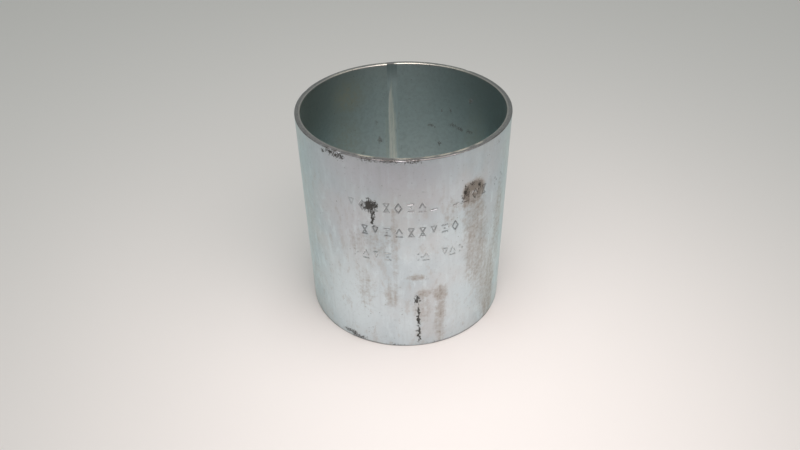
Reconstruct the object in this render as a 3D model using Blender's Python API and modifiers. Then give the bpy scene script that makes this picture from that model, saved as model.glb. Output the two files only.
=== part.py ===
"""Seamed steel sleeve coupling: a thin rolled tube closed by one lengthwise weld.

The bore runs along Z, the lower end lies at z = 0 and the weld is on the +Y side.
Run with blender --background --python part.py, or from Blender's text editor. Metres, +Z up.
"""

import math

import bpy

# Driving dimensions, in metres.
OUTER_DIAMETER = 0.09525
WALL_THICKNESS = 0.00241
SLEEVE_LENGTH = 0.1016
OUTER_CHAMFER = 0.00035
INNER_CHAMFER = 0.0006
WELD_WIDTH = 0.0040
BEAD_HEIGHT = 0.00025
FIT_GAP = 0.0003

# Facets of a full turn. A multiple of four puts a corner on each of the X and Y axes.
TURN_STEPS = 160

# Worked out from the driving dimensions.
OUTER_RADIUS = OUTER_DIAMETER / 2
BORE_RADIUS = OUTER_RADIUS - WALL_THICKNESS
STRIP_GAP_WIDTH = WELD_WIDTH + 2 * FIT_GAP
CUTTER_DEPTH = 4 * WALL_THICKNESS
CUTTER_HEIGHT = 1.2 * SLEEVE_LENGTH
MERGE_DISTANCE = 0.00001

# Finishes: colour, metallic, roughness.
ZINC_PLATE = ((0.56, 0.60, 0.61), 1.0, 0.38)
WELD_STEEL = ((0.62, 0.65, 0.62), 1.0, 0.32)


def clear_scene():
    """Remove every object that the file starts with."""
    for item in list(bpy.data.objects):
        bpy.data.objects.remove(item, do_unlink=True)


def new_collection(name):
    """Add a collection to the scene."""
    collection = bpy.data.collections.new(name)
    bpy.context.scene.collection.children.link(collection)
    return collection


def metal(name, finish):
    """Make a Principled BSDF material from a finish."""
    colour, metallic, roughness = finish
    material = bpy.data.materials.new(name)
    material.use_nodes = True
    shader = material.node_tree.nodes["Principled BSDF"]
    shader.inputs["Base Color"].default_value = (*colour, 1.0)
    shader.inputs["Metallic"].default_value = metallic
    shader.inputs["Roughness"].default_value = roughness
    return material


def ring_profile(inner_radius):
    """Points of the wall's section at +X, down the outer side first, with chamfered rims."""
    top = SLEEVE_LENGTH
    return [
        (OUTER_RADIUS - OUTER_CHAMFER, top),
        (OUTER_RADIUS, top - OUTER_CHAMFER),
        (OUTER_RADIUS, OUTER_CHAMFER),
        (OUTER_RADIUS - OUTER_CHAMFER, 0.0),
        (inner_radius + INNER_CHAMFER, 0.0),
        (inner_radius, INNER_CHAMFER),
        (inner_radius, top - INNER_CHAMFER),
        (inner_radius + INNER_CHAMFER, top),
    ]


def turned_ring(name, inner_radius, material, collection):
    """A full ring: the wall's section turned once about Z by a Screw modifier."""
    section = ring_profile(inner_radius)
    points = [(radius, 0.0, height) for radius, height in section]
    edges = [(i, (i + 1) % len(points)) for i in range(len(points))]
    mesh = bpy.data.meshes.new(name)
    mesh.from_pydata(points, edges, [])
    mesh.materials.append(material)
    ring = bpy.data.objects.new(name, mesh)
    collection.objects.link(ring)
    turn = ring.modifiers.new("turn", "SCREW")
    turn.axis = "Z"
    turn.angle = math.tau
    turn.steps = TURN_STEPS
    turn.render_steps = TURN_STEPS
    turn.use_merge_vertices = True
    turn.merge_threshold = MERGE_DISTANCE
    return ring


def seam_block(name, width, collection):
    """A guide block around the seam at +Y, as wide as asked and longer than the sleeve."""
    middle = (0.0, OUTER_RADIUS - WALL_THICKNESS / 2, SLEEVE_LENGTH / 2)
    bpy.ops.mesh.primitive_cube_add(size=1.0, location=middle)
    block = bpy.context.active_object
    block.name = name
    for vertex in block.data.vertices:
        vertex.co.x *= width
        vertex.co.y *= CUTTER_DEPTH
        vertex.co.z *= CUTTER_HEIGHT
    for owner in list(block.users_collection):
        owner.objects.unlink(block)
    collection.objects.link(block)
    block.display_type = "WIRE"
    block.hide_render = True
    return block


def cut(item, operation, block):
    """Cut the item by the block, or keep only what lies inside it."""
    boolean = item.modifiers.new(operation.lower(), "BOOLEAN")
    boolean.operation = operation
    boolean.object = block
    boolean.solver = "EXACT"


def sleeve_wall(parts, cutters):
    """The rolled strip: a ring whose two edges stop short of each other at the seam."""
    wall = turned_ring("sleeve_wall", BORE_RADIUS, metal("zinc_plate", ZINC_PLATE), parts)
    cut(wall, "DIFFERENCE", seam_block("seam_gap", STRIP_GAP_WIDTH, cutters))
    return wall


def seam_weld(parts, cutters):
    """The weld metal between the strip's edges: flush outside, a low flat bead in the bore."""
    bead_radius = BORE_RADIUS - BEAD_HEIGHT
    weld = turned_ring("seam_weld", bead_radius, metal("weld_steel", WELD_STEEL), parts)
    cut(weld, "INTERSECT", seam_block("weld_width", WELD_WIDTH, cutters))
    return weld


def build():
    """Make the sleeve's two pieces."""
    clear_scene()
    parts = new_collection("sleeve_coupling")
    cutters = new_collection("cutters")
    sleeve_wall(parts, cutters)
    seam_weld(parts, cutters)


build()
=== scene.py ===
"""Looks for the seamed steel sleeve: worn zinc plating, stamped marks and the scarfed weld.

Lengths in the tables are millimetres and angles are degrees. An angle round the wall, outside or in
the bore, is counted from the front (-Y) towards +X, which puts the weld at 180.
"""

import math

import bmesh
import bpy
import numpy as np
from mathutils import Matrix, Vector, noise


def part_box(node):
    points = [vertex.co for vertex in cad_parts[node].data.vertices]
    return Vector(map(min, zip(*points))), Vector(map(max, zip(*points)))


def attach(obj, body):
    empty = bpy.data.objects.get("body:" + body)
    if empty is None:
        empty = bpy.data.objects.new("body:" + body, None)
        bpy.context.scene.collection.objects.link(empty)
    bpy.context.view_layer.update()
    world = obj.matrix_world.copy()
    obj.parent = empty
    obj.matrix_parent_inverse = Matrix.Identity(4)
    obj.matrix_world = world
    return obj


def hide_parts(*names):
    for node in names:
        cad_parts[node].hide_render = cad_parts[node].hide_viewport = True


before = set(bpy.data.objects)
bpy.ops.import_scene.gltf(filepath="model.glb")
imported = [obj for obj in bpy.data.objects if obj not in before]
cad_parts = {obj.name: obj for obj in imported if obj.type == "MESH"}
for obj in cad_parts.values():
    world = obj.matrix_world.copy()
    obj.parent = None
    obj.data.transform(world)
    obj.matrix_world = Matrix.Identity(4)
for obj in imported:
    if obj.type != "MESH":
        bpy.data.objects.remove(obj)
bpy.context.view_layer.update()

MM = 0.001
WALL_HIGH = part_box("sleeve_wall")[1]
LENGTH = WALL_HIGH.z / MM
OUTER_RADIUS = WALL_HIGH.x / MM
CAD_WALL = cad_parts["sleeve_wall"].data
BORE_RADIUS = min(math.hypot(v.co.x, v.co.y) for v in CAD_WALL.vertices) / MM
MIDDLE_RADIUS = (OUTER_RADIUS + BORE_RADIUS) / 2
WELD_HALF_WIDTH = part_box("seam_weld")[1].x / MM

# The wall's mesh, in millimetres.
SKIN_MARGIN = 0.05
EDGE_ROUND = 0.3
COLUMN_PITCH = 1.1
ROW_PITCH = 1.1
BORE_ROW_PITCH = 2.0
UPPER_RIM_PITCH = 0.4
LOWER_RIM_PITCH = 0.6
RIM_BAND = 1.5
ROUND_STEPS = 4
WELD_OVERLAP = 0.1
SHARP_ANGLE = math.radians(55)

# The stamped marks: three rows of plain shapes, as (height, [(angle, shape, depth), ...]). A stroke
# raises a lip beside it, a share of its depth high.
MARK_WIDTH = 2.7
MARK_HEIGHT = 4.6
STROKE_HALF_WIDTH = 0.45
LIP_SHARE = 0.14
MARK_ROWS = [
    (79.4, [(-35.0, "drop", 0.10), (-29.0, "diamond", 0.16), (-22.9, "roof", 0.20), (-16.7, "glass", 0.20),
            (-10.9, "diamond", 0.24), (-4.9, "bars", 0.26), (0.9, "roof", 0.22), (6.9, "dash", 0.30),
            (18.8, "dash", 0.28), (24.6, "roof", 0.26), (30.4, "diamond", 0.28), (36.6, "glass", 0.24),
            (47.0, "dots", 0.20), (53.2, "dots", 0.20)]),
    (67.0, [(-28.4, "glass", 0.24), (-22.8, "drop", 0.26), (-16.7, "bars", 0.26), (-10.6, "roof", 0.20),
            (-4.6, "glass", 0.22), (1.2, "glass", 0.23), (6.9, "drop", 0.20), (12.7, "bars", 0.24),
            (18.6, "diamond", 0.26)]),
    (54.0, [(-34.2, "dots", 0.16), (-28.4, "roof", 0.22), (-22.8, "drop", 0.20), (-16.8, "bars", 0.27),
            (-0.4, "dots", 0.16), (3.0, "roof", 0.14), (13.2, "drop", 0.20), (17.6, "roof", 0.18),
            (22.6, "dots", 0.18)]),
]

# Strokes of each plain shape, in a cell from -1 to 1 each way.
SHAPES = {
    "diamond": [((0, -1), (1, 0)), ((1, 0), (0, 1)), ((0, 1), (-1, 0)), ((-1, 0), (0, -1))],
    "glass": [((-0.8, 0.9), (0.8, 0.9)), ((-0.8, 0.9), (0.8, -0.9)), ((0.8, 0.9), (-0.8, -0.9)),
              ((-0.8, -0.9), (0.8, -0.9))],
    "bars": [((-0.9, 0.75), (0.8, 0.75)), ((-0.1, 0.0), (0.1, 0.0)), ((-0.8, -0.75), (0.9, -0.75))],
    "roof": [((-0.9, -0.1), (0, 0.9)), ((0, 0.9), (0.9, -0.1)), ((-0.9, -0.9), (0.9, -0.9))],
    "drop": [((-0.8, 0.9), (0.8, 0.9)), ((-0.8, 0.9), (0, -0.3)), ((0.8, 0.9), (0, -0.3))],
    "dash": [((-0.9, -0.85), (0.9, -0.7))],
    "dots": [((-0.6, 0.6), (-0.4, 0.7)), ((0.5, -0.1), (0.7, 0)), ((-0.5, -0.8), (-0.3, -0.7))],
}

# The mesh is split once more within each of these reaches of a stroke.
MARK_LEVELS = [1.9, 1.3, 0.85]

# Dents in the upper rim's outer edge, as (angle, half width, depth), and the rim's own unevenness.
RIM_NICKS = [(-51.5, 1.2, 0.30), (-45.0, 1.6, 0.40), (-40.0, 1.8, 0.45), (-16.2, 1.2, 0.25),
             (-8.5, 2.2, 0.28), (22.0, 1.0, 0.15), (64.0, 1.5, 0.20), (131.0, 1.4, 0.25),
             (-118.0, 1.8, 0.22)]
RIM_RIPPLE = 0.06
RIM_RIPPLE_LENGTH = 1.3
RIM_DEPTH = 0.9

# The strip's ends beside the weld, which rolling leaves a little flat: the one on -X more than the other.
FLAT_REACH = 11.0
FLAT_DEPTH = 0.42
OTHER_FLAT_SHARE = 0.25
FORM_RIPPLE = 0.05
FORM_RIPPLE_LENGTH = 22.0

# The weld's mesh: a low bead in the bore, sunk a little into the wall, and a flush outer face.
WELD_ROW_PITCH = 0.8
WELD_SINK = 0.012
WELD_END_DROP = 0.12
BEAD_HALF_WIDTH = 3.3
BEAD_HEIGHT = 0.06
BEAD_SINK = 0.03
WEB_TOP = 0.4
BEAD_ROOT = 0.1

# Camera, measured from the sleeve's axis and base: millimetres and degrees.
CAMERA_DISTANCE = 268.3
CAMERA_HEIGHT = 234.9
CAMERA_AZIMUTH = -7.7
CAMERA_PITCH = 36.57
CAMERA_YAW = 0.526
CAMERA_ROLL = -1.179
CAMERA_LENS = 30.25
SENSOR_WIDTH = 36.0


# ---------------------------------------------------------------- geometry

def strokes():
    """Every stamped stroke as (start, end, depth), in millimetres along the wall and up."""
    found = []
    for height, marks in MARK_ROWS:
        for angle, shape, depth in marks:
            along = math.radians(angle) * OUTER_RADIUS
            for start, end in SHAPES[shape]:
                ends = [
                    (along + x * MARK_WIDTH / 2, height + y * MARK_HEIGHT / 2)
                    for x, y in (start, end)
                ]
                found.append((np.array(ends[0]), np.array(ends[1]), depth))
    return found


def stroke_distance(points, start, end):
    """Distance of each point to one straight stroke."""
    run = end - start
    share = np.clip(((points - start) @ run) / (run @ run), 0, 1)
    return np.linalg.norm(points - start - share[:, None] * run, axis=1)


def near_strokes(points, reach):
    """Which points lie within reach of a stroke."""
    near = np.zeros(len(points), bool)
    for start, end, _ in strokes():
        near |= stroke_distance(points, start, end) < reach
    return near


def stamped_depth(points):
    """How deep the stamping presses the wall at each point; its raised lips are negative."""
    pressed = np.zeros(len(points))
    raised = np.zeros(len(points))
    for start, end, depth in strokes():
        across = stroke_distance(points, start, end) / STROKE_HALF_WIDTH
        groove = np.where(across < 1, 0.5 + 0.5 * np.cos(math.pi * np.clip(across, 0, 1)), 0)
        lip = np.exp(-((across - 1.35) / 0.3) ** 2)
        pressed = np.maximum(pressed, depth * groove)
        raised = np.maximum(raised, LIP_SHARE * depth * lip)
    return pressed - np.where(pressed > 0.01, 0, raised)


def wall_section():
    """The wall's closed section as rows of (path, radius, height): up outside and down the bore."""
    outside = OUTER_RADIUS - SKIN_MARGIN
    corners = [
        (outside - EDGE_ROUND, EDGE_ROUND, 270, 360, ROW_PITCH),
        (outside - EDGE_ROUND, LENGTH - EDGE_ROUND, 0, 90, UPPER_RIM_PITCH),
        (BORE_RADIUS + EDGE_ROUND, LENGTH - EDGE_ROUND, 90, 180, BORE_ROW_PITCH),
        (BORE_RADIUS + EDGE_ROUND, EDGE_ROUND, 180, 270, LOWER_RIM_PITCH),
    ]
    points = []
    for index, (radius, height, first, last, pitch) in enumerate(corners):
        for step in range(ROUND_STEPS + 1):
            turn = math.radians(first + (last - first) * step / ROUND_STEPS)
            points.append((radius + EDGE_ROUND * math.cos(turn), height + EDGE_ROUND * math.sin(turn)))
        following = corners[(index + 1) % len(corners)]
        turn = math.radians(following[2])
        target = np.array(following[:2]) + EDGE_ROUND * np.array([math.cos(turn), math.sin(turn)])
        here = np.array(points[-1])
        count = max(1, round(np.linalg.norm(target - here) / pitch))
        points += [tuple(here + (target - here) * step / count) for step in range(1, count)]
    points.append(points[0])
    points = np.array(points)
    path = np.concatenate([[0], np.cumsum(np.linalg.norm(np.diff(points, axis=0), axis=1))])
    return path, points[:, 0], points[:, 1]


def flat_sheet(columns, rows):
    """A flat grid of quads: x along the wall, y along the section's path."""
    sheet = bmesh.new()
    grid = [[sheet.verts.new((x, y, 0)) for y in rows] for x in columns]
    for i in range(len(columns) - 1):
        for j in range(len(rows) - 1):
            sheet.faces.new((grid[i][j], grid[i + 1][j], grid[i + 1][j + 1], grid[i][j + 1]))
    return sheet


def refine(sheet, chosen):
    """Split each chosen face in four; their neighbours are split to match."""
    edges = {edge for face in chosen for edge in face.edges}
    bmesh.ops.subdivide_edges(sheet, edges=list(edges), cuts=1, use_grid_fill=True)


def wall_sheet():
    """The wall's flat sheet, finer round the stamped strokes and along the upper rim."""
    path, radius, height = wall_section()
    half = math.pi * OUTER_RADIUS - WELD_HALF_WIDTH + WELD_OVERLAP
    columns = np.linspace(-half, half, 2 * round(half / COLUMN_PITCH) + 1)
    sheet = flat_sheet(columns, path)
    outer_end = path[np.argmax(height > LENGTH - EDGE_ROUND)]
    rim_end = path[len(path) - 1 - np.argmax(height[::-1] > LENGTH - EDGE_ROUND)]
    rim = [f for f in sheet.faces if outer_end - RIM_BAND < f.calc_center_median().y < rim_end]
    refine(sheet, rim)
    offset = path[ROUND_STEPS] - height[ROUND_STEPS]
    for reach in MARK_LEVELS:
        faces = [f for f in sheet.faces if f.calc_center_median().y < outer_end - RIM_BAND]
        centres = np.array([f.calc_center_median()[:2] for f in faces]) - (0, offset)
        near = near_strokes(centres, reach)
        refine(sheet, [f for f, chosen in zip(faces, near) if chosen])
    return sheet, path, radius, height


def ripple(angle, height, scale, seed):
    """Smooth noise round and along the sleeve, from about -1 to 1."""
    place = Vector((math.sin(angle) * OUTER_RADIUS, -math.cos(angle) * OUTER_RADIUS, height + seed))
    return noise.noise(place / scale)


def form_offset(angle, height):
    """How far the rolled form lies inside a true circle, both faces together."""
    from_weld = (math.pi - abs(angle)) * OUTER_RADIUS
    flat = FLAT_DEPTH * math.exp(-(from_weld / FLAT_REACH) ** 2)
    if angle > 0:
        flat *= OTHER_FLAT_SHARE
    wave = FORM_RIPPLE * (0.5 + 0.5 * ripple(angle, height, FORM_RIPPLE_LENGTH, 0.0))
    return flat + wave


def rim_drop(angle, height, radius):
    """How far the upper rim is dented or worn down at a point near it."""
    near_top = max(0.0, 1.0 - (LENGTH - height) / RIM_DEPTH)
    if near_top == 0:
        return 0.0
    outerness = (radius - BORE_RADIUS) / (OUTER_RADIUS - BORE_RADIUS)
    drop = RIM_RIPPLE * max(0.0, ripple(angle, 7.0 * radius, RIM_RIPPLE_LENGTH, 40.0))
    for centre, half, depth in RIM_NICKS:
        away = (angle - math.radians(centre)) * OUTER_RADIUS / half
        drop = max(drop, depth * max(0.0, outerness) * math.exp(-away * away))
    return drop * near_top


def wall_points(sheet, path, radius, height):
    """The sheet's points rolled up into the wall, with every dent and mark."""
    flat = np.array([v.co[:2] for v in sheet.verts])
    angle = flat[:, 0] / OUTER_RADIUS
    reach = np.interp(flat[:, 1], path, radius)
    level = np.interp(flat[:, 1], path, height)
    outside = reach > OUTER_RADIUS - SKIN_MARGIN - 0.01
    pressed = np.where(outside, stamped_depth(np.column_stack([flat[:, 0], level])), 0)
    points = []
    for turn, far, up, depth in zip(angle, reach, level, pressed):
        far -= form_offset(turn, up) + depth
        up -= rim_drop(turn, up, far)
        points.append((far * math.sin(turn) * MM, -far * math.cos(turn) * MM, up * MM))
    return points


def close_ends(mesh):
    """Fill the open loops that a rolled sheet leaves at its two ends."""
    edges = [edge for edge in mesh.edges if edge.is_boundary]
    bmesh.ops.holes_fill(mesh, edges=edges, sides=0)
    bmesh.ops.recalc_face_normals(mesh, faces=mesh.faces)


def piece_from(name, mesh, material, node):
    """Turn a bmesh into a visible piece that rides on the root and stands for a CAD node."""
    data = bpy.data.meshes.new(name)
    mesh.to_mesh(data)
    mesh.free()
    data.shade_smooth()
    data.set_sharp_from_angle(angle=SHARP_ANGLE)
    data.materials.append(material)
    piece = bpy.data.objects.new(name, data)
    bpy.context.scene.collection.objects.link(piece)
    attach(piece, "root")
    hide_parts(node)
    return piece


def paint(mesh, name, spots, outside, softness):
    """Store soft patches from 0 to 1 as a number on each vertex of one side of the wall."""
    places = np.array([vertex.co for vertex in mesh.vertices]) / MM
    radius = np.hypot(places[:, 0], places[:, 1])
    angle = np.degrees(np.arctan2(places[:, 0], -places[:, 1]))
    amount = np.zeros(len(places))
    for middle, height, half_arc, half_height, strength in spots:
        turn = (angle - middle + 180) % 360 - 180
        away = np.hypot(np.radians(turn) * OUTER_RADIUS / half_arc, (places[:, 2] - height) / half_height)
        share = np.clip((1 + softness - away) / (2 * softness), 0, 1)
        amount = np.maximum(amount, strength * share * share * (3 - 2 * share))
    amount[(radius > MIDDLE_RADIUS) != outside] = 0
    layer = mesh.attributes.new(name, "FLOAT", "POINT")
    layer.data.foreach_set("value", amount.astype(np.float32))


def pressed_share(mesh):
    """How deep each vertex lies in a stamped mark, from 0 to 1."""
    places = np.array([vertex.co for vertex in mesh.vertices]) / MM
    radius = np.hypot(places[:, 0], places[:, 1])
    arc = np.arctan2(places[:, 0], -places[:, 1]) * OUTER_RADIUS
    depth = stamped_depth(np.column_stack([arc, places[:, 2]]))
    depth[radius < MIDDLE_RADIUS] = 0
    return (depth / max(depth.max(), 1e-6)).astype(np.float32)


def make_wall(material):
    """The rolled and stamped strip."""
    sheet, path, radius, height = wall_sheet()
    for vertex, place in zip(sheet.verts, wall_points(sheet, path, radius, height)):
        vertex.co = place
    bmesh.ops.remove_doubles(sheet, verts=[v for v in sheet.verts if v.is_boundary], dist=1e-6)
    close_ends(sheet)
    wall = piece_from("rolled_wall", sheet, material, "sleeve_wall")
    for name, (spots, outside, softness) in BROAD_MARKS.items():
        paint(wall.data, name, spots, outside, softness)
    layer = wall.data.attributes.new("pressed", "FLOAT", "POINT")
    layer.data.foreach_set("value", pressed_share(wall.data))


def weld_section(level):
    """The weld's section at a height, as (along, radius) points: outside face, web and inner bead."""
    wander = 0.35 * noise.noise(Vector((0, 3.1, level / 6.0)))
    outside = OUTER_RADIUS - SKIN_MARGIN - WELD_SINK
    web = WELD_HALF_WIDTH
    points = [(x, outside) for x in np.linspace(web, -web, 9)]
    points.append((-web, BORE_RADIUS + WEB_TOP))
    left = BEAD_HALF_WIDTH + wander + 0.25 * noise.noise(Vector((5.0, 0, level / 2.2)))
    right = BEAD_HALF_WIDTH - wander + 0.25 * noise.noise(Vector((9.0, 0, level / 2.2)))
    points.append((-left, BORE_RADIUS + BEAD_ROOT))
    for x in np.linspace(-left, right, 19):
        share = (x + left) / (left + right)
        crown = math.sin(math.pi * share) ** 0.6 if 0 < share < 1 else 0.0
        ridge = 0.010 * noise.noise(Vector((x * 1.7, 1.0, level / 45.0)))
        points.append((x, BORE_RADIUS + BEAD_SINK - (BEAD_HEIGHT + BEAD_SINK + ridge) * crown))
    points.append((right, BORE_RADIUS + BEAD_ROOT))
    points.append((web, BORE_RADIUS + WEB_TOP))
    return points


def make_weld(material):
    """The weld metal from end to end, on the +Y side."""
    low, high = 0.02, LENGTH - WELD_END_DROP
    mesh = bmesh.new()
    loops = []
    for level in np.linspace(low, high, round((high - low) / WELD_ROW_PITCH)):
        loop = []
        for along, radius in weld_section(level):
            turn = math.pi - along / radius
            far = radius - 0.5 * (form_offset(turn, level) + form_offset(-turn, level))
            loop.append(mesh.verts.new((far * math.sin(turn) * MM, -far * math.cos(turn) * MM, level * MM)))
        loops.append(loop)
    for lower, upper in zip(loops, loops[1:]):
        for i in range(len(lower)):
            j = (i + 1) % len(lower)
            mesh.faces.new((lower[i], lower[j], upper[j], upper[i]))
    close_ends(mesh)
    piece_from("weld_bead", mesh, material, "seam_weld")


# ---------------------------------------------------------------- materials

# Plating outside and in the bore, stains, and the cut rims; some colours are painted light, highlights and
# glints.
ZINC_BLUE = (0.54, 0.61, 0.65)
ZINC_GREY = (0.58, 0.61, 0.63)
ZINC_VIOLET = (0.58, 0.59, 0.64)
ZINC_PALE = (0.68, 0.76, 0.80)
ZINC_DARK = (0.42, 0.46, 0.47)
ZINC_BROWN = (0.46, 0.44, 0.42)
BORE_BLUE = (0.36, 0.43, 0.44)
BORE_GREY = (0.385, 0.425, 0.405)
# The next two colours are painted light: the bore is made lighter deep down and at the back.
BORE_DEEP_PAINTED_LIGHT = (0.55, 0.64, 0.65)
BORE_PAINTED_LIGHT = (0.645, 0.735, 0.74)
BORE_MOTTLE = (0.33, 0.40, 0.40)
# Lighter stretch beside the weld: drawn metal with a painted highlight.
BESIDE_WELD_WITH_HIGHLIGHT = (0.62, 0.68, 0.62)
BORE_OLIVE_COLOUR = (0.62, 0.61, 0.50)
RUST_FILM = (0.33, 0.27, 0.22)
RUST_DEEP = (0.20, 0.165, 0.13)
GRIME_BLACK = (0.024, 0.020, 0.016)
EDGE_TINT = (0.88, 1.0, 0.98)
# Painted glints in the grooves of the lowest row of marks.
MARK_GLINT = (0.93, 0.95, 0.94)
WELD_DULL = (0.74, 0.80, 0.74)
# Weld metal with a painted highlight.
WELD_METAL_AND_HIGHLIGHT = (1.0, 1.0, 0.93)
WELD_LINE = (0.25, 0.27, 0.25)
RING_DARK = (0.25, 0.245, 0.25)
RING_LIGHT = (0.35, 0.35, 0.355)
RING_DIRT = (0.09, 0.08, 0.07)
RING_WORN = (0.55, 0.54, 0.51)
# Painted glint on the worn stretches of the rims.
RING_GLINT = (0.95, 0.90, 0.80)
ROUGH_LOW = 0.31
ROUGH_HIGH = 0.40

# Height of the bump from noise.
RELIEF = 0.02
WELD_RELIEF = 0.03

# Noise, in lumps for each millimetre; a squeeze below 1 draws the lumps out upright.
BROAD_SCALE = 0.05
MOTTLE_SCALE = 0.55
FINE_SCALE = 1.6
STREAK_SCALE = 0.55
STREAK_SQUEEZE = 0.06
BLOTCH_SCALE = 0.26
BLOTCH_SQUEEZE = 0.45
SPIKE_SCALE = 1.5
SPIKE_SQUEEZE = 0.3

# How far noise pushes a stain's edge about, along the arc and up.
RAGGED_ARC = 5.0
RAGGED_HEIGHT = 7.0

# Where the bore's side of the wall ends, from the bore's surface outwards.
INNER_SIDE_FULL = 1.0
INNER_SIDE_END = 1.4

# Heights between which the bore's colour turns from dull to lighter deep down, a painted light, and the
# marks from painted glints in the lowest row to filled with dirt above it.
BORE_DULL_ABOVE = 90.0
BORE_PAINTED_LIGHT_BELOW = 60.0
GLINTS_BELOW = 59.0
FILLED_ABOVE = 62.0

# Reach of the lighter stretch beside the weld, drawn metal with a painted highlight, from the seam's
# middle.
WELD_SIDE_FULL = 2.2
WELD_SIDE_END = 4.6

# What stains and worn rims do to the gloss.
FILM_ROUGH = 0.14
GRIME_ROUGH = 0.25
SHINE_SMOOTH = 0.15
FILM_DULLNESS = 0.5
GRIME_METALLIC = 0.35


class Nodes:
    """Short calls for building a node tree."""

    def __init__(self, name):
        self.material = bpy.data.materials.new(name)
        self.material.use_nodes = True
        self.tree = self.material.node_tree
        self.shader = self.tree.nodes["Principled BSDF"]

    def put(self, socket, value):
        """Link an output to a socket, or set the socket's value."""
        if isinstance(value, bpy.types.NodeSocket):
            self.tree.links.new(value, socket)
        elif isinstance(value, (tuple, list)) and socket.type == "RGBA":
            socket.default_value = (*value[:3], 1.0)
        else:
            socket.default_value = value

    def add(self, kind, inputs=(), **settings):
        """Add a node, set its properties and fill its inputs in order."""
        node = self.tree.nodes.new(kind)
        for key, value in settings.items():
            setattr(node, key, value)
        for socket, value in zip(node.inputs, inputs):
            if value is not None:
                self.put(socket, value)
        return node

    def maths(self, operation, *values):
        """The result of a Math node."""
        return self.add("ShaderNodeMath", values, operation=operation).outputs[0]

    def vector(self, x, y, z=0.0):
        """Three numbers as one vector."""
        return self.add("ShaderNodeCombineXYZ", (x, y, z)).outputs[0]

    def cloud(self, vector, scale, detail=3.0, roughness=0.55):
        """Noise from 0 to 1; scale counts lumps for each unit of the vector."""
        node = self.add("ShaderNodeTexNoise")
        self.put(node.inputs["Vector"], vector)
        node.inputs["Scale"].default_value = scale
        node.inputs["Detail"].default_value = detail
        node.inputs["Roughness"].default_value = roughness
        return node.outputs["Fac"]

    def ramp(self, value, low, high, start=0.0, end=1.0):
        """A smooth step of value between low and high."""
        node = self.add("ShaderNodeMapRange", interpolation_type="SMOOTHSTEP")
        self.put(node.inputs["Value"], value)
        for key, number in (("From Min", low), ("From Max", high), ("To Min", start), ("To Max", end)):
            node.inputs[key].default_value = number
        return node.outputs["Result"]

    def mix(self, share, first, second):
        """Two colours mixed by a share."""
        node = self.add("ShaderNodeMix", data_type="RGBA", clamp_factor=True)
        self.put(node.inputs["Factor"], share)
        colours = [s for s in node.inputs if s.type == "RGBA"]
        self.put(colours[0], first)
        self.put(colours[1], second)
        return [s for s in node.outputs if s.type == "RGBA"][0]

    def painted(self, name):
        """The number stored on the mesh under a name."""
        return self.add("ShaderNodeAttribute", attribute_name=name).outputs["Fac"]

    def bump(self, height, distance):
        """A bumped normal; distance is in metres."""
        node = self.add("ShaderNodeBump")
        node.inputs["Distance"].default_value = distance
        self.put(node.inputs["Height"], height)
        return node.outputs["Normal"]


def sleeve_coordinates(n):
    """Sockets in millimetres: the place itself, the arc from the front, the height and the radius."""
    place = n.add("ShaderNodeTexCoord").outputs["Object"]
    split = n.add("ShaderNodeSeparateXYZ", (place,)).outputs
    x, y, z = [n.maths("MULTIPLY", axis, 1 / MM) for axis in split]
    arc = n.maths("MULTIPLY", n.maths("ARCTAN2", x, n.maths("MULTIPLY", y, -1.0)), OUTER_RADIUS)
    radius = n.maths("SQRT", n.maths("ADD", n.maths("MULTIPLY", x, x), n.maths("MULTIPLY", y, y)))
    return n.vector(x, y, z), arc, z, radius


def inner_side(n, radius):
    """1 on the bore's half of the wall's thickness and 0 on the outer half."""
    return n.ramp(radius, BORE_RADIUS + INNER_SIDE_END, BORE_RADIUS + INNER_SIDE_FULL)


def smeared(n, place, upright):
    """The place with its height squeezed, so that noise on it runs in upright streaks."""
    return n.add("ShaderNodeMapping", (place, None, None, (1.0, 1.0, upright))).outputs[0]


def patches(n, unrolled, spots, softness):
    """Soft patches from 0 to 1 on the unrolled wall, one for each (angle, height, half sizes, strength)."""
    total = 0.0
    for angle, height, half_arc, half_height, strength in spots:
        arc = math.radians(angle) * OUTER_RADIUS
        moved = n.add("ShaderNodeMapping", (unrolled,))
        moved.inputs["Location"].default_value = (-arc / half_arc, -height / half_height, 0)
        moved.inputs["Scale"].default_value = (1 / half_arc, 1 / half_height, 1)
        away = n.add("ShaderNodeVectorMath", (moved.outputs[0],), operation="LENGTH").outputs["Value"]
        patch = n.ramp(away, 1.0 + softness, 1.0 - softness, 0.0, strength)
        total = n.maths("MAXIMUM", total, patch)
    return total


# Every mark below is (angle, height, half arc, half height, strength).

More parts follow.
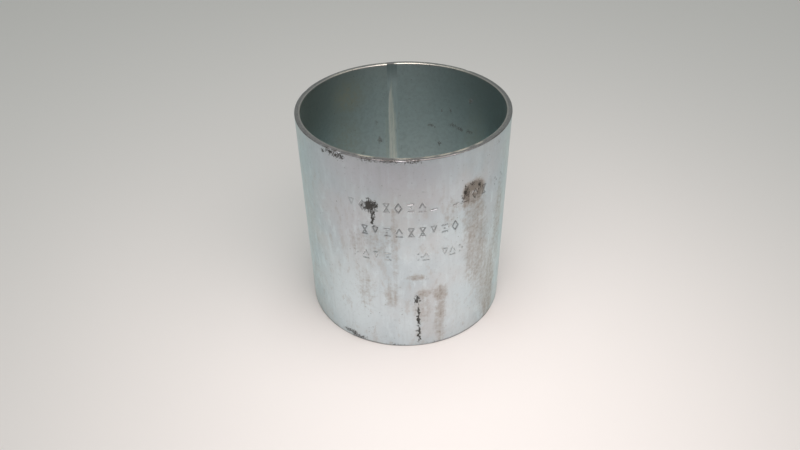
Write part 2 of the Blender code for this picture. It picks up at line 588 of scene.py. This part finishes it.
# Black dirt outside: splashes, drips and the rims' edges.
GRIME = [(-25.3, 79.4, 1.9, 4.2, 1.0), (-28.4, 78.8, 1.4, 2.2, 0.8), (-22.8, 80.0, 1.6, 2.6, 0.9),
         (-23.8, 73.8, 0.8, 5.2, 0.9), (24.2, 82.6, 1.7, 3.4, 0.8), (22.2, 79.0, 1.3, 2.0, 0.75),
         (28.4, 85.0, 2.2, 1.4, 0.7), (33.0, 82.4, 1.3, 3.0, 0.7), (-2.1, 29.5, 1.9, 3.6, 0.75),
         (-1.0, 17.0, 0.9, 9.5, 0.9), (-0.6, 7.0, 0.8, 5.5, 0.95), (3.3, 41.6, 0.9, 1.5, 0.6),
         (-42.0, 2.8, 4.5, 1.3, 0.9), (-35.0, 1.4, 5.0, 0.9, 0.9), (-14.0, 0.6, 7.0, 0.7, 0.7),
         (6.0, 0.5, 6.0, 0.6, 0.6), (-51.0, 99.4, 0.9, 0.8, 1.0), (-46.0, 100.3, 3.0, 1.1, 1.0),
         (-40.5, 99.9, 3.0, 1.4, 1.0), (-25.0, 101.2, 4.5, 0.5, 1.0), (-15.0, 101.1, 5.0, 0.6, 1.0),
         (-4.0, 101.1, 5.0, 0.6, 0.95), (47.0, 98.4, 3.0, 1.1, 0.55), (113.0, 64.0, 3.0, 4.0, 0.7),
         (-128.0, 22.0, 2.2, 5.0, 0.7), (148.0, 30.0, 1.6, 6.0, 0.6)]

# Brown film outside.
RUST = [(25.3, 81.5, 2.8, 4.6, 0.85), (30.0, 83.6, 3.4, 3.0, 0.95), (34.0, 80.5, 2.6, 4.8, 0.8),
        (29.0, 77.5, 4.8, 3.4, 0.75), (24.6, 76.0, 2.0, 2.6, 0.6), (31.0, 66.0, 6.6, 15.0, 0.46),
        (34.0, 48.0, 7.4, 22.0, 0.42), (40.0, 33.0, 4.6, 24.0, 0.34), (-13.2, 58.0, 1.6, 27.0, 0.36),
        (-15.5, 31.0, 3.4, 7.0, 0.44), (-2.0, 42.3, 4.4, 1.6, 0.55), (2.2, 32.6, 3.6, 2.4, 0.50),
        (11.2, 31.0, 3.4, 5.0, 0.55), (11.4, 16.0, 2.8, 17.0, 0.46), (1.0, 24.0, 4.4, 9.0, 0.34),
        (48.5, 16.0, 6.0, 26.0, 0.48), (53.0, 52.0, 5.0, 26.0, 0.36), (-33.0, 60.0, 5.0, 7.0, 0.24),
        (16.0, 74.0, 3.2, 8.0, 0.32), (-30.0, 34.0, 5.0, 12.0, 0.28), (-21.0, 62.0, 5.6, 9.0, 0.28),
        (116.0, 58.0, 5.5, 22.0, 0.45), (98.0, 40.0, 3.5, 26.0, 0.30), (-125.0, 34.0, 5.0, 18.0, 0.40),
        (150.0, 40.0, 4.0, 24.0, 0.35), (-92.0, 70.0, 4.0, 18.0, 0.30), (-160.0, 62.0, 6.0, 12.0, 0.30)]

# Tints of the plating outside.
VIOLET = [(-20.0, 95.0, 26.0, 9.0, 0.8), (-42.0, 74.0, 12.0, 16.0, 0.5), (46.0, 84.0, 8.0, 22.0, 0.5),
          (12.0, 84.0, 14.0, 9.0, 0.4), (100.0, 82.0, 24.0, 14.0, 0.6), (-130.0, 84.0, 22.0, 12.0, 0.6)]
PALE = [(17.0, 60.0, 7.0, 24.0, 0.6), (-2.0, 54.0, 9.0, 10.0, 0.4), (24.0, 22.0, 9.0, 22.0, 0.6),
        (-38.0, 22.0, 16.0, 24.0, 0.9), (-8.0, 12.0, 6.0, 12.0, 0.6),
        (130.0, 24.0, 16.0, 22.0, 0.5), (-100.0, 26.0, 16.0, 20.0, 0.5)]

# Marks in the bore: warm patches, stretches of painted light, and scratches and specks.
BORE_OLIVE = [(-150.4, 88.0, 8.5, 8.0, 0.9), (-146.0, 62.0, 9.0, 18.0, 0.5), (118.0, 60.0, 8.0, 20.0, 0.4)]
# Painted light: spots where the bore's colour is made lighter, on the back wall.
BORE_PAINTED_LIGHT_SPOTS = [(176.0, 72.0, 36.0, 40.0, 0.8), (-150.0, 50.0, 26.0, 30.0, 0.4)]
BORE_SPECKS = [(153.6, 68.4, 2.8, 0.7, 0.8), (138.0, 71.0, 3.2, 0.6, 0.8), (133.0, 69.8, 2.4, 0.7, 0.9),
               (125.4, 70.6, 2.4, 0.6, 0.9), (125.6, 87.4, 1.2, 1.5, 0.8), (146.6, 77.8, 1.0, 1.0, 0.7),
               (140.6, 78.8, 1.0, 1.0, 0.7), (147.8, 58.4, 1.0, 1.2, 0.8), (-171.5, 60.0, 1.2, 3.0, 0.6),
               (-169.0, 71.0, 0.8, 2.0, 0.5), (-152.0, 70.0, 2.0, 1.2, 0.4), (165.0, 88.0, 2.2, 1.6, 0.4),
               (-158.0, 54.5, 3.0, 0.8, 0.5), (30.0, 30.0, 3.0, 1.0, 0.6), (-60.0, 44.0, 1.6, 3.0, 0.6)]

# Worn stretches along the rims, with painted glints: their colour is made near white.
RIM_WEAR_AND_GLINTS = [(-27.0, LENGTH, 3.0, 2.0, 1.0), (4.5, LENGTH, 2.2, 2.0, 0.8), (12.8, LENGTH, 2.6, 2.0, 1.0),
             (22.0, LENGTH, 3.0, 2.0, 1.0), (-8.0, LENGTH, 3.0, 2.0, 0.6), (33.0, LENGTH, 2.0, 2.0, 0.7),
             (172.0, LENGTH, 16.0, 2.0, 0.6), (-150.0, LENGTH, 9.0, 2.0, 0.5),
             (140.0, LENGTH, 9.0, 2.0, 0.5)]

# The broad marks, stored on the wall's vertices: the spots, whether they are outside, and the softness.
BROAD_MARKS = {
    "rust": (RUST, True, 0.5),
    "violet": (VIOLET, True, 0.9),
    "pale": (PALE, True, 0.8),
    "olive": (BORE_OLIVE, False, 0.8),
    # Painted light in the bore.
    "bore_painted_light": (BORE_PAINTED_LIGHT_SPOTS, False, 0.7),
    # Worn stretches of the rims, with painted glints.
    "rim_wear_and_glint": (RIM_WEAR_AND_GLINTS, False, 0.5),
}


def ring_colour(n, place, height, radius):
    """The cut rims' colour, and how much of a point lies on a rim."""
    from_end = n.maths("MINIMUM", n.maths("SUBTRACT", LENGTH, height), height)
    grain = n.cloud(place, 1.4, 3.0, 0.6)
    on_ring = n.ramp(n.maths("MULTIPLY_ADD", grain, 0.35, from_end), 0.62, 0.36)
    cut = n.mix(n.ramp(grain, 0.35, 0.65), RING_DARK, RING_LIGHT)
    outer = n.ramp(n.maths("MULTIPLY_ADD", grain, 0.5, radius), OUTER_RADIUS - 0.3, OUTER_RADIUS + 0.1)
    dirt = n.ramp(n.cloud(place, 0.16, 2.0), 0.45, 0.62, 0.10, 0.6)
    cut = n.mix(n.maths("MULTIPLY", outer, dirt), cut, RING_DIRT)
    inner = n.ramp(radius, BORE_RADIUS + 1.0, BORE_RADIUS + 0.2, 0.0, 0.6)
    return n.mix(inner, cut, RING_WORN), on_ring


def outside_colour(n, place, height, broad, mottle, streak):
    """The plating outside: bluish, with violet and pale tints, blotches and drawn streaks."""
    colour = n.mix(n.ramp(broad, 0.35, 0.65), ZINC_BLUE, ZINC_GREY)
    colour = n.mix(n.painted("violet"), colour, ZINC_VIOLET)
    colour = n.mix(n.painted("pale"), colour, ZINC_PALE)
    colour = n.mix(n.ramp(mottle, 0.52, 0.74, 0.0, 0.32), colour, ZINC_DARK)
    lower = n.ramp(height, LENGTH - 4.0, LENGTH - 36.0, 0.35, 1.0)
    blotch = n.cloud(smeared(n, place, BLOTCH_SQUEEZE), BLOTCH_SCALE, 5.0, 0.68)
    colour = n.mix(n.maths("MULTIPLY", n.ramp(blotch, 0.52, 0.66, 0.0, 0.55), lower), colour, ZINC_PALE)
    colour = n.mix(n.maths("MULTIPLY", n.ramp(blotch, 0.46, 0.33, 0.0, 0.40), lower), colour, ZINC_BROWN)
    runs = n.ramp(n.cloud(place, 0.09, 2.0), 0.38, 0.62, 0.1, 1.0)
    colour = n.mix(n.maths("MULTIPLY", n.ramp(streak, 0.50, 0.72, 0.0, 0.22), runs), colour, ZINC_DARK)
    return n.mix(n.maths("MULTIPLY", n.ramp(streak, 0.46, 0.30, 0.0, 0.30), runs), colour, ZINC_PALE)


def bore_colour(n, arc, height, mottle):
    """The plating in the bore: dull near the upper end, with painted light making it lighter deep down and
    at the back.
    """
    colour = n.mix(n.ramp(arc, -20.0, 20.0), BORE_GREY, BORE_BLUE)
    # Painted light: the colour turns lighter deep down and on the painted spots.
    colour = n.mix(n.ramp(height, BORE_DULL_ABOVE, BORE_PAINTED_LIGHT_BELOW, 0.0, 0.9), colour, BORE_DEEP_PAINTED_LIGHT)
    colour = n.mix(n.painted("bore_painted_light"), colour, BORE_PAINTED_LIGHT)
    return n.mix(n.ramp(mottle, 0.35, 0.7, 0.0, 0.35), colour, BORE_MOTTLE)


def weld_side_with_highlight(n, place, height, streak, inside):
    """How much of a point lies in the lighter stretch beside the weld in the bore: drawn metal and a
    painted highlight.
    """
    axes = n.add("ShaderNodeSeparateXYZ", (place,)).outputs
    share = n.ramp(n.maths("ABSOLUTE", axes["X"]), WELD_SIDE_END, WELD_SIDE_FULL)
    share = n.maths("MULTIPLY", share, n.ramp(height, LENGTH - 16.0, LENGTH - 44.0))
    share = n.maths("MULTIPLY", share, n.ramp(streak, 0.62, 0.40, 0.15, 0.8))
    back = n.ramp(axes["Y"], 10.0, 20.0)
    return n.maths("MULTIPLY", share, n.maths("MULTIPLY", inside, back))


def rust_film(n, mottle, streak):
    """How thick the brown film lies, with an uneven edge."""
    painted = n.painted("rust")
    uneven = n.maths("MULTIPLY_ADD", mottle, 1.3, n.maths("MULTIPLY_ADD", streak, 0.7, -1.0))
    film = n.maths("MULTIPLY_ADD", uneven, 0.75, painted)
    return n.maths("MULTIPLY", n.ramp(film, 0.05, 0.90, 0.0, 0.85), n.ramp(painted, 0.0, 0.2))


def dirt_cover(n, place, ragged, height, fine, broad, inside):
    """How much black dirt covers a point: splashes, specks, filled marks, dust and the foot's edge."""
    outside = n.maths("SUBTRACT", 1.0, inside)
    spikes = n.cloud(smeared(n, place, SPIKE_SQUEEZE), SPIKE_SCALE, 2.0, 0.6)
    broken = n.maths("ADD", n.maths("MULTIPLY", spikes, 1.3), n.maths("MULTIPLY", fine, 0.5))
    splash = n.ramp(n.maths("ADD", patches(n, ragged, GRIME, 0.7), broken), 1.38, 1.74, 0.0, 0.95)
    splash = n.maths("MULTIPLY", splash, outside)
    specks = n.maths("MULTIPLY_ADD", fine, 0.6, patches(n, ragged, BORE_SPECKS, 0.6))
    specks = n.maths("MULTIPLY", n.ramp(specks, 0.68, 1.0, 0.0, 0.75), inside)
    cover = n.maths("MAXIMUM", splash, specks)
    filled = n.maths("MULTIPLY", n.painted("pressed"), n.ramp(fine, 0.36, 0.58, 0.25, 0.90))
    filled = n.maths("MULTIPLY", filled, n.ramp(height, GLINTS_BELOW, FILLED_ABOVE, 0.6, 1.0))
    cover = n.maths("MAXIMUM", cover, filled)
    dust = n.ramp(n.cloud(place, 1.1, 2.0, 0.5), 0.71, 0.78, 0.0, 0.5)
    cover = n.maths("MAXIMUM", cover, dust)
    foot = n.maths("MULTIPLY", n.ramp(height, 1.3, 0.4, 0.0, 0.45), n.ramp(broad, 0.42, 0.55, 0.3, 1.0))
    return n.maths("MAXIMUM", cover, n.maths("MULTIPLY", foot, outside))


def zinc_material():
    """Zinc plating: bluish and mottled, with drawn streaks, stains, dull cut rims, and painted light and
    glints.
    """
    n = Nodes("zinc_plate")
    place, arc, height, radius = sleeve_coordinates(n)
    broad = n.cloud(place, BROAD_SCALE, 3.0)
    mottle = n.cloud(place, MOTTLE_SCALE, 5.0, 0.7)
    fine = n.cloud(place, FINE_SCALE, 3.0, 0.6)
    streak = n.cloud(smeared(n, place, STREAK_SQUEEZE), STREAK_SCALE, 4.0, 0.65)
    ragged = n.vector(
        n.maths("ADD", arc, n.maths("MULTIPLY", n.maths("SUBTRACT", mottle, 0.5), RAGGED_ARC)),
        n.maths("ADD", height, n.maths("MULTIPLY", n.maths("SUBTRACT", fine, 0.5), RAGGED_HEIGHT)),
    )
    inside = inner_side(n, radius)

    plating = outside_colour(n, place, height, broad, mottle, streak)
    colour = n.mix(inside, plating, bore_colour(n, arc, height, mottle))
    # Painted highlight, partly drawn metal: a lighter stretch beside the weld deeper in the bore.
    colour = n.mix(weld_side_with_highlight(n, place, height, streak, inside), colour, BESIDE_WELD_WITH_HIGHLIGHT)
    film = rust_film(n, mottle, streak)
    colour = n.mix(film, colour, n.mix(n.ramp(film, 0.55, 0.85), RUST_FILM, RUST_DEEP))
    olive = n.maths("MULTIPLY", n.painted("olive"), n.ramp(mottle, 0.35, 0.65, 0.3, 0.9))
    colour = n.mix(olive, colour, BORE_OLIVE_COLOUR)
    # Painted glints: the grooves of the lowest row of marks are coloured near white in patches.
    groove_glint = n.maths("MULTIPLY", n.painted("pressed"), n.ramp(height, FILLED_ABOVE, GLINTS_BELOW, 0.0, 0.9))
    colour = n.mix(n.maths("MULTIPLY", groove_glint, n.ramp(fine, 0.62, 0.45)), colour, MARK_GLINT)

    cut, on_ring = ring_colour(n, place, height, radius)
    # Painted glints: the worn stretches, mostly at the front, are coloured near white, and also made
    # smoother.
    rim_wear_and_glint = n.maths("MULTIPLY", n.painted("rim_wear_and_glint"), n.ramp(radius, OUTER_RADIUS - 0.2, OUTER_RADIUS - 1.1))
    colour = n.mix(on_ring, colour, n.mix(rim_wear_and_glint, cut, RING_GLINT))
    grime = dirt_cover(n, place, ragged, height, fine, broad, inside)
    n.put(n.shader.inputs["Base Color"], n.mix(grime, colour, GRIME_BLACK))

    worn = n.maths("MULTIPLY", rim_wear_and_glint, on_ring)
    rough = n.ramp(mottle, 0.3, 0.7, ROUGH_LOW, ROUGH_HIGH)
    rough = n.maths("ADD", rough, n.maths("MULTIPLY", film, FILM_ROUGH))
    rough = n.maths("ADD", rough, n.maths("MULTIPLY", grime, GRIME_ROUGH))
    rough = n.maths("SUBTRACT", rough, n.maths("MULTIPLY", worn, SHINE_SMOOTH))
    n.put(n.shader.inputs["Roughness"], rough)
    dull = n.maths("MAXIMUM", n.maths("MULTIPLY", film, FILM_DULLNESS), grime)
    n.put(n.shader.inputs["Metallic"], n.ramp(dull, 0.0, 1.0, 1.0, GRIME_METALLIC))
    n.put(n.shader.inputs["Specular Tint"], EDGE_TINT)
    relief = n.maths("ADD", n.maths("MULTIPLY", mottle, 0.6), n.maths("MULTIPLY", fine, 0.4))
    relief = n.maths("ADD", relief, n.maths("MULTIPLY", streak, 0.5))
    n.put(n.shader.inputs["Normal"], n.bump(relief, RELIEF * MM))
    return n.material


def weld_material():
    """Scarfed weld metal: a bright, streaked band in the bore, partly a painted highlight, and two faint
    lines outside.
    """
    n = Nodes("weld_steel")
    place, _, height, radius = sleeve_coordinates(n)
    across = n.add("ShaderNodeSeparateXYZ", (place,)).outputs["X"]
    drawn = n.vector(n.maths("MULTIPLY", across, 1.6), n.maths("MULTIPLY", height, 0.045))
    streak = n.cloud(drawn, 1.0, 3.0, 0.6)
    wander = n.maths("MULTIPLY", n.maths("SUBTRACT", n.cloud(place, 0.12, 2.0), 0.5), 2.0)
    off_centre = n.maths("ABSOLUTE", n.maths("ADD", across, wander))
    # The bright band is weld metal and a painted highlight: it narrows and fades towards the upper end.
    reach = n.ramp(height, LENGTH - 7.0, LENGTH - 34.0, 0.4, 3.0)
    band_with_highlight = n.ramp(n.maths("DIVIDE", off_centre, reach), 1.0, 0.35)
    band_with_highlight = n.maths("MULTIPLY", band_with_highlight, n.ramp(height, LENGTH - 7.0, LENGTH - 17.0, 0.1, 1.0))
    inside = inner_side(n, radius)
    # Painted light: the weld's bore face turns lighter below the upper end, as the wall's does.
    wall = n.mix(n.ramp(height, LENGTH - 1.0, LENGTH - 12.0), BORE_BLUE, BORE_PAINTED_LIGHT)
    colour = n.mix(inside, n.mix(n.ramp(streak, 0.35, 0.65), ZINC_BLUE, ZINC_GREY), wall)
    bright = n.mix(n.ramp(streak, 0.3, 0.6), WELD_DULL, WELD_METAL_AND_HIGHLIGHT)
    colour = n.mix(n.maths("MULTIPLY", band_with_highlight, inside), colour, bright)
    line = n.ramp(n.maths("ABSOLUTE", n.maths("SUBTRACT", streak, 0.5)), 0.02, 0.0, 0.0, 0.4)
    colour = n.mix(line, colour, WELD_LINE)
    toe = n.ramp(n.maths("ABSOLUTE", across), WELD_HALF_WIDTH - 0.35, WELD_HALF_WIDTH - 0.05, 0.0, 0.45)
    colour = n.mix(n.maths("MULTIPLY", toe, n.maths("SUBTRACT", 1.0, inside)), colour, ZINC_DARK)
    cut, on_ring = ring_colour(n, place, height, radius)
    colour = n.mix(on_ring, colour, cut)
    n.put(n.shader.inputs["Base Color"], colour)
    n.put(n.shader.inputs["Roughness"], n.ramp(streak, 0.3, 0.7, 0.30, 0.42))
    n.shader.inputs["Metallic"].default_value = 1.0
    n.put(n.shader.inputs["Normal"], n.bump(streak, WELD_RELIEF * MM))
    return n.material


# ---------------------------------------------------------------- studio

# Distances, heights and the floor's drop are millimetres, azimuths are degrees and sizes are metres. A
# box is (distance, height, azimuth).
FLOOR_COLOUR = (0.80, 0.80, 0.79)
FLOOR_SIZE = 8.0
FLOOR_DROP = 0.02
ROOM_COLOUR = (0.985, 1.0, 0.96)
ROOM_HORIZON = 0.29
ROOM_ZENITH = 0.50
FLAG_NEAR = 174.0
FLAG_HEIGHT = 1.0
FLAG_SIZE = 0.8
FLAG_COLOUR = (0.45, 0.46, 0.46)
FRONT_BOX = (115.0, 212.0, 6.0)
FRONT_BOX_SIZE = 0.2
FRONT_BOX_POWER = 0.405
FRONT_BOX_COLOUR = (1.0, 0.85, 0.82)
TOP_BOX = (-60.0, 700.0, 0.0)
TOP_BOX_SIZE = 0.3
TOP_BOX_POWER = 0.82


def plain_material(name, colour):
    """A matt material of one colour."""
    n = Nodes(name)
    n.shader.inputs["Base Color"].default_value = (*colour, 1)
    n.shader.inputs["Roughness"].default_value = 0.9
    return n.material


def make_floor():
    """A plain pale floor, just under the sleeve's foot."""
    bpy.ops.mesh.primitive_plane_add(size=FLOOR_SIZE, location=(0, 0, -FLOOR_DROP * MM))
    floor = bpy.context.active_object
    floor.name = "floor"
    floor.data.materials.append(plain_material("floor", FLOOR_COLOUR))


def place_round(distance, height, azimuth):
    """A point round the sleeve, in metres; azimuth 0 is in front."""
    turn = math.radians(azimuth)
    return Vector((distance * math.sin(turn), -distance * math.cos(turn), height)) * MM


def add_area(name, where, size, power, colour=(1, 1, 1)):
    """A square soft light aimed at the sleeve's foot."""
    light = bpy.data.lights.new(name, "AREA")
    light.size = size
    light.energy = power
    light.color = colour
    lamp = bpy.data.objects.new(name, light)
    lamp.location = where
    lamp.rotation_euler = (-where).to_track_quat("-Z", "Y").to_euler()
    bpy.context.scene.collection.objects.link(lamp)


def make_world():
    """Soft room light, a little dimmer towards the horizon."""
    world = bpy.data.worlds.new("room")
    bpy.context.scene.world = world
    world.use_nodes = True
    tree = world.node_tree
    background = tree.nodes["Background"]
    background.inputs["Color"].default_value = (*ROOM_COLOUR, 1)
    direction = tree.nodes.new("ShaderNodeTexCoord").outputs["Generated"]
    split = tree.nodes.new("ShaderNodeSeparateXYZ")
    tree.links.new(direction, split.inputs[0])
    rise = tree.nodes.new("ShaderNodeMapRange")
    tree.links.new(split.outputs["Z"], rise.inputs["Value"])
    rise.inputs["To Min"].default_value = ROOM_HORIZON
    rise.inputs["To Max"].default_value = ROOM_ZENITH
    tree.links.new(rise.outputs["Result"], background.inputs["Strength"])


def make_flag(material):
    """A dull card on the floor in front, seen only in reflections: it darkens the wall's upper part."""
    near = place_round(FLAG_NEAR, FLAG_HEIGHT, CAMERA_AZIMUTH)
    bpy.ops.mesh.primitive_plane_add(size=1.0, location=near)
    flag = bpy.context.active_object
    flag.name = "flag"
    flag.rotation_euler.z = math.radians(CAMERA_AZIMUTH)
    for vertex in flag.data.vertices:
        vertex.co.x *= FLAG_SIZE
        vertex.co.y = (vertex.co.y - 0.5) * FLAG_SIZE
    flag.data.materials.append(material)
    flag.visible_camera = False
    flag.visible_diffuse = False
    flag.visible_shadow = False


def make_light():
    """One soft box over the front, one overhead, and the room."""
    make_world()
    make_flag(plain_material("flag_grey", FLAG_COLOUR))
    add_area("front_box", place_round(*FRONT_BOX), FRONT_BOX_SIZE, FRONT_BOX_POWER, FRONT_BOX_COLOUR)
    add_area("top_box", place_round(*TOP_BOX), TOP_BOX_SIZE, TOP_BOX_POWER)
    bpy.context.scene.view_settings.view_transform = "Standard"


def make_camera():
    """The camera in front of the sleeve, looking down into its mouth."""
    data = bpy.data.cameras.new("camera")
    data.lens = CAMERA_LENS
    data.sensor_width = SENSOR_WIDTH
    data.clip_start = 0.01
    camera = bpy.data.objects.new("camera", data)
    bpy.context.scene.collection.objects.link(camera)
    turn = (
        Matrix.Rotation(math.radians(CAMERA_AZIMUTH + CAMERA_YAW), 4, "Z")
        @ Matrix.Rotation(math.radians(90 - CAMERA_PITCH), 4, "X")
        @ Matrix.Rotation(math.radians(CAMERA_ROLL), 4, "Z")
    )
    eye = place_round(CAMERA_DISTANCE, CAMERA_HEIGHT, CAMERA_AZIMUTH)
    camera.matrix_world = Matrix.Translation(eye) @ turn
    bpy.context.scene.camera = camera


make_wall(zinc_material())
make_weld(weld_material())
make_floor()
make_light()
make_camera()

bpy.context.view_layer.update()
